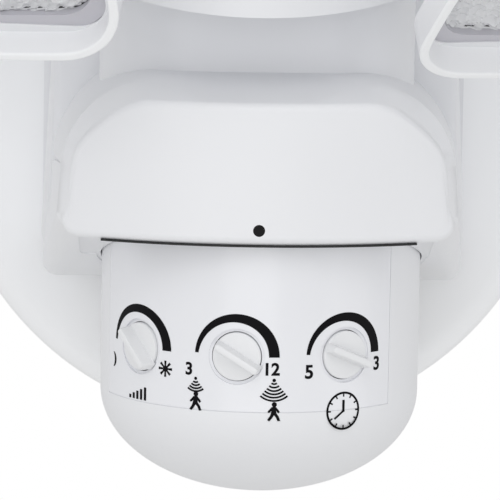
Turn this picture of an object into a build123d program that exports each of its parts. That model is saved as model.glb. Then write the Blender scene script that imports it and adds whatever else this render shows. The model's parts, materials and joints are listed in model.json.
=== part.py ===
"""Wall light with two swivelling lamp heads and a turning motion sensor.

Millimetres. X runs to the right as the light is seen, +Y into the wall, +Z up.
The origin is the middle of the wall plate, on the wall. A distance called "out"
is measured from the wall towards the viewer, so a point's y is minus its out.
"""
from build123d import *
import math
import os

# canopy and wall plate
canopy_radius = 75.0
canopy_front = 15.0
canopy_wall = 2.4
gasket_depth = 2.0
plate_radius = 64.0
plate_thickness = 2.0
wall_slot_spacing = 88.0
wall_slot_radius = 2.4
wall_slot_length = 10.0
cable_bore_radius = 4.5
grommet_radius = 10.0

# central housing
wall = 2.5
base_half_width = 50.5
base_bottom = -31.5
base_top = 58.0
base_front = 33.0
cover_thickness = 2.5
hood_back = 28.0
hood_front = 98.0
hood_bulge_radius = 90.0
hood_lip = 82.0
hood_rear = {"bottom": -35.8, "top": 19.6, "low": 50.4, "high": 46.6, "corner": 29.0, "foot": 3.6}
hood_face = {"bottom": -18.2, "top": 16.3, "low": 44.5, "high": 41.9, "corner": 18.2, "foot": 5.6}
neck_half_width = 36.8
neck_front = 68.0
neck_corner = 22.0
window_radius = 1.35
window_height = -14.6

# upper housing
brow_radius = 40.0
brow_centre = 50.0
brow_dip = 33.6
brow_rise = 5.8
brow_half_span = 45.0
tower_half_width = 26.0
tower_half_depth = 31.0
tower_shoulder = 58.0
tower_top = 100.0

# lamp head joints
pan_offset = 62.0
pan_out = 60.0
tilt_height = 82.0
arm_reach = 22.0
drum_radius = 12.0
drum_half_height = 10.0
ear_radius = 9.0
ear_half_width = 5.0
pan_bolt_radius = 3.0
tilt_bolt_radius = 2.5
shoulder_end_radius = 11.0
running_gap = 0.06
rest_pan = {"left": 13.6, "right": 20.8}
rest_tilt = {"left": 36.5, "right": 52.8}

# lamp head, measured forward from its tilt axis
head_back = 10.0
head_front = 52.8
head_width = 89.0
head_height = 68.0
head_corner = 15.5
head_bulge = 1.5
rim_wall = 2.1
rim_recess = 6.9
shroud_back = 34.0
shroud_waist = 44.5

# sensor
pod_x = 1.5
pod_out = 57.0
pod_radius = 37.0
pod_wall = 2.2
pod_top = 2.0
drum_bottom = -56.9
dome_depth = 23.8
pod_gap = 1.3
dial_facing = -9.3
dial_pitch = 39.75
dial_height = -43.9
panel_half_angle = 60.8
panel_bottom = -56.4
panel_thickness = 1.4
panel_gap = 0.2
knob_radius = 5.35
knob_recess_radius = 6.4
knob_bar_length = 11.8
knob_bar_angles = {"light": -44.0, "range": -31.0, "time": -23.0}
knob_stem_radius = 2.0
lens_half_angle = 68.0
spigot_radius = 14.0

os.makedirs("parts", exist_ok=True)
nodes = {}


def front(out):
    """Drawing plane at a distance out from the wall, seen from the front."""
    return Plane(origin=(0, -out, 0), x_dir=(1, 0, 0), z_dir=(0, -1, 0))


def rod(radius, start, end):
    """Round bar from one point to another."""
    a = Vector(*start)
    b = Vector(*end)
    return extrude(Plane(origin=a, z_dir=b - a) * Circle(radius), (b - a).length)


def block(x, out, z):
    """Block from three (low, high) pairs: across, out from the wall, and up."""
    size = (x[1] - x[0], out[1] - out[0], z[1] - z[0])
    middle = ((x[0] + x[1]) / 2, -(out[0] + out[1]) / 2, (z[0] + z[1]) / 2)
    return Pos(*middle) * Box(*size)


def hex_head(radius, out, depth):
    """Six-sided screw head that stands on a distance out from the wall."""
    return extrude(front(out) * RegularPolygon(radius, 6), depth)


def keep(name, shape):
    """Store a piece under its node name."""
    nodes[name] = shape


# ---- wall plate, gasket and canopy ----

def make_wall_plate():
    disc = rod(plate_radius, (0, 0, 0), (0, -plate_thickness, 0))
    slots = Sketch() + [
        Pos(side * wall_slot_spacing / 2, 0) * SlotOverall(wall_slot_length, 2 * wall_slot_radius)
        for side in (-1, 1)
    ]
    plate = disc - extrude(front(-1) * slots, 6)
    plate -= rod(grommet_radius - 1.5, (0, 1, 0), (0, -6, 0))
    for side in (-1, 1):
        tab = block((54, 61), (plate_thickness, 10), (-8, 8))
        tab -= rod(1.6, (50, -6.5, 0), (70, -6.5, 0))
        plate += tab if side > 0 else mirror(tab, Plane.YZ)
    return plate


def make_gasket():
    outer = rod(canopy_radius - 0.6, (0, 0, 0), (0, -gasket_depth, 0))
    return outer - rod(canopy_radius - 5, (0, 1, 0), (0, -gasket_depth - 1, 0))


def canopy_profile(radius, face, turn):
    """Half section of a shallow round dish, from its axis to its rim."""
    edge = Polyline((0, gasket_depth), (radius, gasket_depth), (radius, face - 8))
    top = Polyline((radius - 8, face), (0, face), (0, gasket_depth))
    return make_face(edge + turn + top)


def make_canopy():
    lying = Plane(origin=(0, 0, 0), x_dir=(1, 0, 0), z_dir=(0, 0, -1))
    radius, face = canopy_radius, canopy_front
    turn = ThreePointArc((radius, face - 8), (radius - 2.2, face - 2.2), (radius - 8, face))
    outer = revolve(lying * canopy_profile(radius, face, turn), Axis.Y)
    radius, face = radius - canopy_wall, face - canopy_wall
    turn = Line((radius, face - 8), (radius - 8, face))
    dish = outer - revolve(lying * canopy_profile(radius, face, turn), Axis.Y)
    dish -= rod(9, (0, -10, 22), (0, -20, 22))
    for side in (-1, 1):
        dish -= rod(1.7, (side * 64, -6.5, 0), (side * 78, -6.5, 0))
        dish -= rod(2.1, (side * 30, -10, 34), (side * 30, -20, 34))
        dish -= rod(2.1, (side * 42, -10, -20), (side * 42, -20, -20))
    return dish


def make_grommet():
    ring = rod(grommet_radius, (0, -plate_thickness, 0), (0, -plate_thickness - 3, 0))
    ring += rod(grommet_radius - 1.5, (0, 0, 0), (0, -plate_thickness, 0))
    return ring - rod(cable_bore_radius, (0, 1, 0), (0, -9, 0))


def make_canopy_screws():
    screws = Part()
    for side in (-1, 1):
        screws += rod(1.55, (side * 55, -6.5, 0), (side * 74.8, -6.5, 0))
    return screws


def make_terminals():
    body = block((-18, 18), (2, 11), (16, 28))
    bores = Part()
    for column in (-12, 0, 12):
        bores += block((column - 2, column + 2), (6, 10), (15, 29))
        bores += rod(1.8, (column, -8, 22), (column, -12, 22))
    keep("terminal_block", body - bores)
    screws = Part()
    for column in (-12, 0, 12):
        screws += rod(1.6, (column, -8.4, 22), (column, -11, 22))
    keep("terminal_screws", screws)


def make_cord_clamp():
    strap = block((-14, 14), (2, 5), (-22, -14)) + rod(5.5, (0, -5, -22), (0, -5, -14))
    strap = strap & block((-14, 14), (2, 11), (-22, -14))
    strap -= rod(4.2, (0, -4, -30), (0, -4, -5))
    screws = Part()
    for side in (-1, 1):
        hole = rod(1.4, (side * 10.5, -1, -18), (side * 10.5, -6, -18))
        strap -= hole
        screws += rod(1.4, (side * 10.5, -2, -18), (side * 10.5, -5, -18))
        screws += Pos(side * 10.5, 0, -18) * hex_head(2.8, 5, 1.6)
    keep("cord_clamp", strap)
    keep("clamp_screws", screws)


# ---- central housing: base block, neck and hood in one moulding ----

def base_outline(inset):
    """Outline of the block that stands on the canopy, wide round its top."""
    low = base_bottom + inset
    high = base_top - inset
    half = base_half_width - inset
    outline = make_face(Polyline((-half, low), (half, low), (half, high), (-half, high), close=True))
    outline = fillet(outline.vertices().group_by(Axis.Y)[-1], 26 - inset)
    return fillet(outline.vertices().group_by(Axis.Y)[0], 7 - inset)


def hood_outline(shape, inset):
    """Section of the hood: flat underside, leaning sides and rounded upper corners."""
    low = shape["bottom"] + inset
    high = shape["top"] - inset
    wide = shape["low"] - inset
    narrow = shape["high"] - inset
    outline = make_face(Polyline((-wide, low), (wide, low), (narrow, high), (-narrow, high), close=True))
    outline = fillet(outline.vertices().group_by(Axis.Y)[-1], shape["corner"] - inset)
    return fillet(outline.vertices().group_by(Axis.Y)[0], shape["foot"] - inset)


def below_brow():
    """Everything under the curved lower edge of the upper housing."""
    low = -100
    edge = ThreePointArc((-brow_half_span, brow_dip + brow_rise), (0, brow_dip), (brow_half_span, brow_dip + brow_rise))
    sides = Polyline((brow_half_span, brow_dip + brow_rise), (brow_half_span, low), (-brow_half_span, low),
                     (-brow_half_span, brow_dip + brow_rise))
    return extrude(front(-10) * make_face(edge + sides), 150)


def hood_form(inset):
    """Tapered hood, level under its lip and cut at the front to a gentle curve in plan."""
    end = hood_front + 2
    share = (hood_lip - hood_back) / (end - hood_back)
    knee = {key: hood_rear[key] + (hood_face[key] - hood_rear[key]) * share for key in hood_rear}
    knee["bottom"] = hood_face["bottom"]
    rear_part = front(hood_back) * hood_outline(hood_rear, inset)
    knee_part = front(hood_lip) * hood_outline(knee, inset)
    face_part = front(end) * hood_outline(hood_face, inset)
    form = loft([rear_part, knee_part, face_part], ruled=True)
    middle = hood_front - hood_bulge_radius
    drum = rod(hood_bulge_radius - inset, (0, -middle, -60), (0, -middle, 60))
    return form & drum


def neck_form(inset):
    """Upright neck between the hood and the brow, rounded towards the viewer."""
    back = canopy_front + cover_thickness + inset
    half = neck_half_width - inset
    trunk = block((-half, half), (back, neck_front - inset), (10, 40))
    corners = trunk.edges().filter_by(Axis.Z).group_by(Axis.Y)[0]
    trunk = fillet(corners, neck_corner - inset)
    return trunk & (Pos(0, 0, -inset) * below_brow())


def make_front_housing():
    back = canopy_front + cover_thickness
    base = extrude(front(back) * base_outline(0), base_front - back)
    base = fillet(base.faces().sort_by(Axis.Y)[0].edges(), 5)
    hood = hood_form(0)
    face = hood.faces().sort_by(Axis.Y)[0]
    upper = [edge for edge in face.edges() if edge.center().Z > hood_face["bottom"] + 2]
    hood = fillet(upper, 2.2)
    shell = base + hood + neck_form(0)

    room = extrude(front(back - 1) * base_outline(wall), base_front - wall - back + 1)
    room += hood_form(wall)
    room += neck_form(wall)
    shell -= room

    # round the sensor the underside is open, and behind the lip the opening is wider
    pod_hole = rod(pod_radius + pod_gap, (pod_x, -pod_out, -60), (pod_x, -pod_out, pod_top + 0.8))
    slot = block((-40.6, 40.3), (pod_out, hood_front + 5), (-40, -12))
    lip = rod(hood_bulge_radius - wall, (0, hood_bulge_radius - hood_front, -60),
              (0, hood_bulge_radius - hood_front, 0))
    slot = fillet((slot & lip).edges().filter_by(Axis.Z), 2.2)
    shell -= pod_hole + slot

    shell -= rod(window_radius, (0, -hood_front - 1, window_height), (0, -hood_front + 4, window_height))
    shell -= rod(8, (0, -40, 20), (0, -40, 45))
    for side in (-1, 1):
        ledge = block((39.4, 44), (45, 70), (-2, 3))
        shell += (ledge if side > 0 else mirror(ledge, Plane.YZ)) & hood_form(wall / 2)
    return shell


def make_rear_cover():
    cover = extrude(front(canopy_front) * base_outline(0), cover_thickness)
    cover -= rod(9, (0, -10, 22), (0, -20, 22))
    for side in (-1, 1):
        cover -= rod(1.6, (side * 30, -10, 34), (side * 30, -20, 34))
        cover -= rod(1.6, (side * 42, -10, -20), (side * 42, -20, -20))
    return cover


def make_body_screws():
    screws = Part()
    for x, z in ((-30, 34), (30, 34), (-42, -20), (42, -20)):
        screws += Pos(x, 0, z) * hex_head(3.6, 10.2, 2.4)
        screws += rod(1.6, (x, -12.6, z), (x, -17.5, z))
    return screws


def make_electronics():
    keep("driver_board", block((-38, 38), (19, 20.6), (9, 36)))
    core = block((-13, 13), (20.6, 44), (12, 29)) + block((-17, 17), (26, 38), (12, 29))
    keep("transformer", core)
    cans = Part()
    for x, z in ((-26, 18), (-26, 30), (26, 32)):
        cans += rod(4.5, (x, -20.6, z), (x, -29, z))
    keep("capacitors", cans)
    keep("relay", block((19, 34), (20.6, 29.5), (11, 25)))
    window = rod(window_radius, (0, -hood_front + 0.05, window_height), (0, -hood_front + 3.4, window_height))
    keep("photocell_window", window)


# ---- upper housing with the two shoulders that carry the lamp heads ----

def tower_form(inset):
    """Bell that narrows from the round brow into an upright oval with a domed top."""
    middle = Plane(origin=(0, -brow_centre, 0))
    brow = middle.offset(30) * Circle(brow_radius - inset)
    edge = middle.offset(43) * Circle(brow_radius - 1.2 - inset)
    oval = Ellipse(tower_half_width - inset, tower_half_depth - inset)
    waist = middle.offset(tower_shoulder) * oval
    skirt = loft([brow, edge], ruled=True) + loft([edge, waist], ruled=True)
    upright = extrude(waist, tower_top - inset - tower_shoulder)
    crown = upright.faces().sort_by(Axis.Z)[-1].edges()
    upright = fillet(crown, 11 - inset)
    keep_out = canopy_front + 0.2 + inset
    return (skirt + upright) & block((-60, 60), (keep_out, 130), (20, 130))


def make_upper_housing():
    shell = tower_form(0) - below_brow()
    shell -= extrude(front(canopy_front) * base_outline(0), base_front - canopy_front)
    hollow = tower_form(2.4) - Pos(0, 0, 2.4) * below_brow()
    shell -= hollow
    shell -= rod(8, (0, -40, 30), (0, -40, 42))
    for side in (-1, 1):
        shell -= rod(3.5, (side * 10, -pan_out, 68.8), (side * 40, -pan_out, 68.8))
    return shell


def make_shoulder(side):
    """Bar from the tower's flank out to the upright bore of one lamp head."""
    top = tilt_height - drum_half_height - 0.3
    thick = 5.7
    plan = Pos(pan_offset, -pan_out) * Circle(shoulder_end_radius)
    plan += Pos((pan_offset + 12) / 2, -pan_out) * Rectangle(pan_offset - 12, 20)
    bar = extrude(Plane.XY.offset(top - thick) * plan, thick)
    rib = block((14, 46), (pan_out - 3, pan_out + 3), (top - 12, top - thick))
    slope = Pos(46, -pan_out, top - 12) * Rot(0, -35, 0) * Box(30, 10, 12)
    bar += rib - Pos(0, 0, -6) * slope
    bar -= rod(pan_bolt_radius + running_gap, (pan_offset, -pan_out, 0), (pan_offset, -pan_out, 200))
    if side < 0:
        bar = mirror(bar, Plane.YZ)
    return bar - tower_form(0)


# ---- pan arm, in its own frame: origin on the pan axis at tilt height, forward is -Y ----

def make_arm():
    drum = rod(drum_radius, (0, 0, -drum_half_height), (0, 0, drum_half_height))
    drum = chamfer(drum.edges().sort_by(Axis.Z)[-1], 0.8)
    ear = rod(ear_radius, (-ear_half_width, -arm_reach, 0), (ear_half_width, -arm_reach, 0))
    ear += block((-ear_half_width, ear_half_width), (4, arm_reach), (-ear_radius, ear_radius))
    arm = drum + ear
    arm -= rod(pan_bolt_radius, (0, 0, -20), (0, 0, 20))
    return arm - rod(tilt_bolt_radius + running_gap, (-10, -arm_reach, 0), (10, -arm_reach, 0))


def make_pan_bolt():
    under = -drum_half_height - 0.3 - 5.7 - 0.3
    head = extrude(Plane.XY.offset(under - 4) * RegularPolygon(5.4, 6), 4)
    shank = rod(pan_bolt_radius, (0, 0, under), (0, 0, drum_half_height))
    cap = rod(5.4, (0, 0, drum_half_height), (0, 0, drum_half_height + 3.4))
    cap = chamfer(cap.edges().sort_by(Axis.Z)[-1], 1.2)
    return head + shank + cap


# ---- lamp head, in its own frame: origin on the tilt axis, forward is -Y ----

def squircle(width, height, corner, bulge):
    """Rounded rectangle whose four sides bow out a little."""
    x = width / 2 - bulge
    z = height / 2 - bulge
    sides = ThreePointArc((-x, -z), (0, -height / 2), (x, -z))
    sides += ThreePointArc((x, -z), (width / 2, 0), (x, z))
    sides += ThreePointArc((x, z), (0, height / 2), (-x, z))
    sides += ThreePointArc((-x, z), (-width / 2, 0), (-x, -z))
    outline = make_face(sides)
    return fillet(outline.vertices(), corner)


def taper(start, end, out_start, out_end):
    """Loft between two squircles, each a width, height, corner and bulge."""
    return loft([front(out_start) * squircle(*start), front(out_end) * squircle(*end)])


back_size = (54, 36, 9, 2)
seam_size = (70, 50, 12, 2)
rim_size = (head_width, head_height, head_corner, head_bulge)


def shrink(size, amount):
    width, height, corner, bulge = size
    return (width - 2 * amount, height - 2 * amount, max(corner - amount, 2), bulge)


def make_head_shell():
    outer = taper(back_size, seam_size, head_back, shroud_back)
    inner = taper(shrink(back_size, 2.4), shrink(seam_size, 2.4), head_back + 2.4, shroud_back + 0.1)
    shell = outer - inner
    for x in (-21, -14, 14, 21):
        shell += block((x - 1, x + 1), (head_back - 3.5, head_back + 1), (-14, 14))
    for side in (-1, 1):
        low, high = sorted((side * 5.3, side * 10.3))
        lug = rod(ear_radius, (low, 0, 0), (high, 0, 0))
        lug += block((low, high), (0, head_back + 1), (-ear_radius, ear_radius))
        lug -= rod(tilt_bolt_radius, (-20, 0, 0), (20, 0, 0))
        shell += lug
    return shell


mouth_size = shrink(rim_size, rim_wall)
throat_size = shrink(mouth_size, 0.8)
frame_size = shrink(throat_size, 0.2)
frame_window = shrink(frame_size, 4.0)
lens_size = shrink(frame_window, 0.9)
frame_seat = head_front - rim_recess
frame_thickness = 2.0
pocket = frame_seat - frame_thickness - 0.2


def make_shroud():
    outer = taper(seam_size, shrink(rim_size, 0.6), shroud_back, shroud_waist)
    outer += taper(shrink(rim_size, 0.6), rim_size, shroud_waist, head_front)
    inner = taper(throat_size, mouth_size, frame_seat, head_front)
    bore = shrink(lens_size, -2.2)
    tunnel = taper(shrink(seam_size, 2.4), bore, shroud_back - 0.1, pocket - 4)
    tunnel += extrude(front(pocket - 4) * squircle(*bore), 4)
    tunnel += extrude(front(pocket) * squircle(*throat_size), frame_seat - pocket)
    shroud = outer - inner - tunnel
    rim = shroud.faces().sort_by(Axis.Y)[0]
    return fillet(rim.edges(), 0.6)


def make_lens_frame():
    outer = extrude(front(pocket) * squircle(*frame_size), frame_thickness)
    return outer - extrude(front(pocket - 1) * squircle(*frame_window), frame_thickness + 2)


def make_lens():
    return extrude(front(pocket - 1.4) * squircle(*lens_size), 2.6)


def make_lens_gasket():
    ring = extrude(front(pocket - 2.2) * squircle(*shrink(lens_size, -1.8)), 2.2)
    return ring - extrude(front(pocket - 3) * squircle(*shrink(lens_size, -0.2)), 4)


def make_reflector():
    outer = taper((44, 28, 4, 1), (68, 47, 11, 1.5), 28, 41)
    return outer - taper((41, 25, 3, 1), (65.6, 44.6, 10, 1.5), 27.9, 41.1)


def make_led_parts():
    board = block((-19, 19), (26.2, 27.8), (-12, 12))
    chips = Part()
    for column in range(4):
        for row in range(3):
            x = (column - 1.5) * 8
            z = (row - 1) * 7
            chips += block((x - 1.5, x + 1.5), (27.8, 28.6), (z - 1.5, z + 1.5))
    sink = block((-24, 24), (24, 26.2), (-16, 16))
    for fin in range(7):
        x = (fin - 3) * 7
        sink += block((x - 0.8, x + 0.8), (16, 24), (-13, 13))
    return board, chips, sink


def make_tilt_bolt():
    bolt = rod(tilt_bolt_radius, (-10.3, 0, 0), (15, 0, 0))
    bolt += rod(4.6, (-13.6, 0, 0), (-10.3, 0, 0))
    nut = rod(6.2, (10.4, 0, 0), (15, 0, 0))
    wings = block((11.4, 14), (-2, 2), (-10, 10))
    return bolt + (nut + wings - rod(tilt_bolt_radius, (0, 0, 0), (20, 0, 0)))


# ---- turning sensor, about its own upright axis ----

def pod_place(shape):
    return Pos(pod_x, -pod_out, 0) * shape


def sector(inner, outer, low, high, facing, half):
    """Part of an upright tube, facing an angle from straight out and turning right."""
    tube = Pos(0, 0, (low + high) / 2) * (Cylinder(outer, high - low) - Cylinder(inner, high - low))
    reach = 3 * outer
    left = math.radians(facing - half)
    right = math.radians(facing + half)
    mid = math.radians(facing)
    wedge = Polyline((0, 0), (reach * math.sin(left), -reach * math.cos(left)),
                     (reach * math.sin(mid), -reach * math.cos(mid)),
                     (reach * math.sin(right), -reach * math.cos(right)), close=True)
    return tube & extrude(Plane.XY.offset(low - 1) * make_face(wedge), high - low + 2)


def radial(angle, height):
    """Placement with -Y pointing straight out of the drum at an angle and height."""
    turned = math.radians(angle)
    return Pos(pod_radius * math.sin(turned), -pod_radius * math.cos(turned), height) * Rot(0, 0, angle)


def dial_angles():
    return {
        "light": dial_facing - dial_pitch,
        "range": dial_facing,
        "time": dial_facing + dial_pitch,
    }


def pod_solid(inset):
    """Drum with a half ellipsoid under it."""
    radius = pod_radius - inset
    depth = dome_depth - inset
    arc = EllipticalCenterArc((0, drum_bottom), radius, depth, start_angle=-90, arc_size=90)
    side = Polyline((radius, drum_bottom), (radius, pod_top - inset), (0, pod_top - inset), (0, drum_bottom - depth))
    return revolve(Plane.XZ * make_face(arc + side), Axis.Z)


def make_sensor_shell():
    shell = pod_solid(0) - pod_solid(pod_wall)
    shell -= rod(pod_radius - 1.2, (0, 0, pod_top - 2.3), (0, 0, pod_top + 1))
    seat = sector(pod_radius - panel_thickness, pod_radius + 1, panel_bottom - panel_gap, pod_top - 4,
                  dial_facing, panel_half_angle + 0.3)
    window = sector(20, pod_radius + 1, -50, -14, dial_facing + 180, lens_half_angle)
    shell -= seat + window
    for angle in dial_angles().values():
        shell -= radial(angle, dial_height) * rod(knob_recess_radius, (0, -2, 0), (0, 6, 0))
    return pod_place(shell)


def make_dial_panel():
    panel = sector(pod_radius - panel_thickness, pod_radius, panel_bottom, pod_top - 4.2, dial_facing, panel_half_angle)
    for angle in dial_angles().values():
        place = radial(angle, dial_height)
        panel -= place * rod(knob_recess_radius, (0, -2, 0), (0, 0.75, 0))
        panel -= place * rod(knob_radius + 0.35, (0, -2, 0), (0, 6, 0))
    return pod_place(panel)


def make_knob(angle, bar_angle):
    disc = rod(knob_radius, (0, 0, 0), (0, 2.6, 0))
    bar = Box(knob_bar_length, 2.8, 2.1)
    bar = fillet(bar.edges().filter_by(Axis.Y), 0.6)
    turned = Rot(0, -bar_angle, 0) * Pos(0.3, -1.1, 0) * bar
    stem = rod(knob_stem_radius, (0, 2.6, 0), (0, 9, 0))
    return pod_place(radial(angle, dial_height) * (disc + turned + stem))


def make_dial_electronics():
    pots = Part()
    boards = Part()
    for angle in dial_angles().values():
        place = radial(angle, dial_height)
        pot = Pos(0, 6.3, 0) * Box(9, 5, 9)
        pots += place * (pot - rod(knob_stem_radius + running_gap, (0, 2, 0), (0, 9.4, 0)))
        boards += place * (Pos(0, 10.2, 0) * Box(12, 1.2, 14))
    keep("dial_pots", pod_place(pots))
    keep("dial_boards", pod_place(boards))
    board = Pos(0, 0, -28) * Box(44, 1.6, 44)
    keep("sensor_board", pod_place(Rot(0, 0, dial_facing) * board))
    can = rod(4.6, (0, 0.8, -30), (0, 5.4, -30)) + rod(5.2, (0, 0.8, -30), (0, 1.6, -30))
    keep("pyro_detector", pod_place(Rot(0, 0, dial_facing) * can))


def make_fresnel_lens():
    return pod_place(sector(pod_radius - 1.6, pod_radius - 0.2, -49.8, -14.2, dial_facing + 180, lens_half_angle - 0.4))


def make_sensor_lid():
    lid = rod(pod_radius - 1.3, (0, 0, pod_top - 2.2), (0, 0, pod_top))
    lid += rod(spigot_radius, (0, 0, pod_top), (0, 0, 12))
    return pod_place(lid - rod(spigot_radius - 3, (0, 0, -5), (0, 0, 20)))


def make_sensor_bracket():
    plan = Pos(0, -57.5) * Rectangle(79.6, 25)
    plan += Pos(pod_x, -pod_out) * Circle(30)
    plate = extrude(Plane.XY.offset(3) * plan, 3)
    plate -= pod_place(rod(spigot_radius + running_gap, (0, 0, 0), (0, 0, 10)))
    for side in (-1, 1):
        plate -= rod(1.5, (side * 35, -57.5, 0), (side * 35, -57.5, 10))
    return plate


def make_sensor_collar():
    ring = rod(spigot_radius + 4, (0, 0, 6.3), (0, 0, 9.3)) - rod(spigot_radius, (0, 0, 5), (0, 0, 12))
    return pod_place(ring)


def make_bracket_screws():
    screws = Part()
    for side in (-1, 1):
        screws += rod(1.5, (side * 35, -57.5, 3), (side * 35, -57.5, 6))
        screws += Pos(side * 35, -57.5, 6) * extrude(RegularPolygon(2.8, 6), 1.6)
    return screws


# ---- everything in its place ----

keep("wall_plate", make_wall_plate())
keep("wall_gasket", make_gasket())
keep("canopy", make_canopy())
keep("canopy_screws", make_canopy_screws())
keep("cable_grommet", make_grommet())
make_terminals()
make_cord_clamp()
keep("rear_cover", make_rear_cover())
keep("body_screws", make_body_screws())
keep("front_housing", make_front_housing())
make_electronics()
keep("upper_housing", make_upper_housing())

keep("sensor_shell", make_sensor_shell())
keep("sensor_lid", make_sensor_lid())
keep("sensor_collar", make_sensor_collar())
keep("sensor_bracket", make_sensor_bracket())
keep("bracket_screws", make_bracket_screws())
keep("dial_panel", make_dial_panel())
keep("fresnel_lens", make_fresnel_lens())
make_dial_electronics()
for dial, angle in dial_angles().items():
    keep("knob_" + dial, make_knob(angle, knob_bar_angles[dial]))

led_board, led_chips, heat_sink = make_led_parts()
head_pieces = {
    "head_shell": make_head_shell(),
    "shroud": make_shroud(),
    "lens_frame": make_lens_frame(),
    "lens": make_lens(),
    "lens_gasket": make_lens_gasket(),
    "reflector": make_reflector(),
    "led_board": led_board,
    "led_chips": led_chips,
    "heat_sink": heat_sink,
    "tilt_bolt": make_tilt_bolt(),
}
arm_pieces = {"arm": make_arm(), "pan_bolt": make_pan_bolt()}
for name, side in (("left", -1), ("right", 1)):
    keep("shoulder_" + name, make_shoulder(side))
    arm_place = Pos(side * pan_offset, -pan_out, tilt_height) * Rot(0, 0, side * rest_pan[name])
    head_place = arm_place * Pos(0, -arm_reach, 0) * Rot(rest_tilt[name], 0, 0)
    for piece, shape in arm_pieces.items():
        keep(piece + "_" + name, arm_place * shape)
    for piece, shape in head_pieces.items():
        keep(piece + "_" + name, head_place * shape)

for name, shape in nodes.items():
    export_step(shape, "parts/" + name + ".step")
print(len(nodes), "nodes written")
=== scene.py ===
import json
from math import cos, pi, radians, sin

import bmesh
import bpy
from mathutils import Matrix, Vector


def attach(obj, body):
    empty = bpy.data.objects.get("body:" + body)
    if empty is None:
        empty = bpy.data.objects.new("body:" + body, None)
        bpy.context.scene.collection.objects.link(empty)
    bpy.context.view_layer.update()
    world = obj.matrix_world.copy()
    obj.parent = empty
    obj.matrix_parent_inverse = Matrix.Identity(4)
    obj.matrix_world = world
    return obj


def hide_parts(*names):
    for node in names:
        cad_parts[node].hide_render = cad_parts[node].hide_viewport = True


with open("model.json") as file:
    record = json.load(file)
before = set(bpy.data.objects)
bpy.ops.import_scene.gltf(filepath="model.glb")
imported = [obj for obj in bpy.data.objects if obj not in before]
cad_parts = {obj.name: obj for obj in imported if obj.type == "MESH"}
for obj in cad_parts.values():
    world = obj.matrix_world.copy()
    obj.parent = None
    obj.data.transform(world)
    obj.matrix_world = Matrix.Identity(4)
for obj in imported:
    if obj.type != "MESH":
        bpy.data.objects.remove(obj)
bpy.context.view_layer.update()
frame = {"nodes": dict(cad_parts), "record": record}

nodes = frame["nodes"]
mm = 0.001
perMetre = 1000  # millimetres in a metre: a texture with a feature of s mm has the scale perMetre / s
print("frame loaded:", len(nodes), "nodes")


# colours are written as sRGB hex and turned to linear here
def toLinear(hexColour):
    parts = [int(hexColour[i:i + 2], 16) / 255 for i in (0, 2, 4)]
    return [p / 12.92 if p <= 0.04045 else ((p + 0.055) / 1.055) ** 2.4 for p in parts] + [1.0]


# one node with its settings and its links; a value that is a pair (node, socket) is a link,
# and a key such as i6 is a socket's number
def addNode(tree, kind, settings=None, **inputs):
    node = tree.nodes.new(kind)
    for key, value in (settings or {}).items():
        setattr(node, key, value)
    for key, value in inputs.items():
        numbered = key[0] == "i" and key[1:].isdigit()
        socket = node.inputs[int(key[1:]) if numbered else key.replace("_", " ")]
        if isinstance(value, tuple) and isinstance(value[0], bpy.types.Node):
            tree.links.new(value[0].outputs[value[1]], socket)
        else:
            socket.default_value = value
    return node


def newMaterial(name):
    material = bpy.data.materials.new(name)
    material.use_nodes = True
    material.node_tree.nodes.clear()
    return material, material.node_tree


grained = {"cloudDetail": 3.0, "grainDetail": 2.0, "mottleDepth": 2, "glossSpread": 0.15, "depth": 0.05}


# clouded colour and gloss with a fine grain in the skin, which most finishes here are; grain and cloud
# are sizes in millimetres, mottle says how much darker the clouds are and bump how strong the grain is
def grainedFinish(name, colour, roughness, mottle, bump, grain, cloud, depth=grained["depth"], **surface):
    material, tree = newMaterial(name)
    place = addNode(tree, "ShaderNodeTexCoord")
    clouds = addNode(tree, "ShaderNodeTexNoise", Vector=(place, "Object"), Scale=perMetre / cloud,
                     Detail=grained["cloudDetail"])
    darker = [c * (1 - mottle * grained["mottleDepth"]) for c in toLinear(colour)[:3]] + [1]
    tint = addNode(tree, "ShaderNodeMix", {"data_type": "RGBA"}, i0=(clouds, 0), i6=darker,
                   i7=toLinear(colour))
    skin = addNode(tree, "ShaderNodeTexNoise", Vector=(place, "Object"), Scale=perMetre / grain,
                   Detail=grained["grainDetail"])
    dents = addNode(tree, "ShaderNodeBump", Strength=bump, Distance=depth * mm, Height=(skin, 0))
    gloss = addNode(tree, "ShaderNodeMapRange", Value=(clouds, 0),
                    To_Min=roughness * (1 - grained["glossSpread"]),
                    To_Max=roughness * (1 + grained["glossSpread"]))
    shader = addNode(tree, "ShaderNodeBsdfPrincipled", Base_Color=(tint, 2), Roughness=(gloss, 0),
                     Normal=(dents, 0))
    for key, value in surface.items():
        shader.inputs[key.replace("_", " ")].default_value = value
    addNode(tree, "ShaderNodeOutputMaterial", Surface=(shader, 0))
    return material


# gloss ABS from a polished mould: cool white, soft reflections, a trace of flow mottle every 30 mm or so
whiteAbs = grainedFinish("glossWhiteAbs", "ebecef", 0.34, mottle=0.012, bump=0.06, grain=0.9, cloud=30,
                         IOR=1.52)
# a lighter copy of the same ABS for the canopy and the rims and inner walls of the shrouds: painted light,
# their extra brightness is put into the colour
paintedLightAbs = grainedFinish("paintedLightWhiteAbs", "f8f9fb", 0.34, mottle=0.01, bump=0.06, grain=0.9, cloud=34,
                          IOR=1.52)
# the same ABS on the dial panel, a little smoother and brighter because the scales are printed on it
panelAbs = grainedFinish("polishedWhiteAbs", "ecedf1", 0.2, mottle=0.008, bump=0.03, grain=1.1, cloud=24,
                         IOR=1.52)
# nylon knobs: nearly the housing's white, with a finer and stronger spark grain
knobNylon = grainedFinish("whiteMouldedNylon", "ebecee", 0.34, mottle=0.015, bump=0.10, grain=0.5, cloud=6,
                          IOR=1.53)
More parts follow.
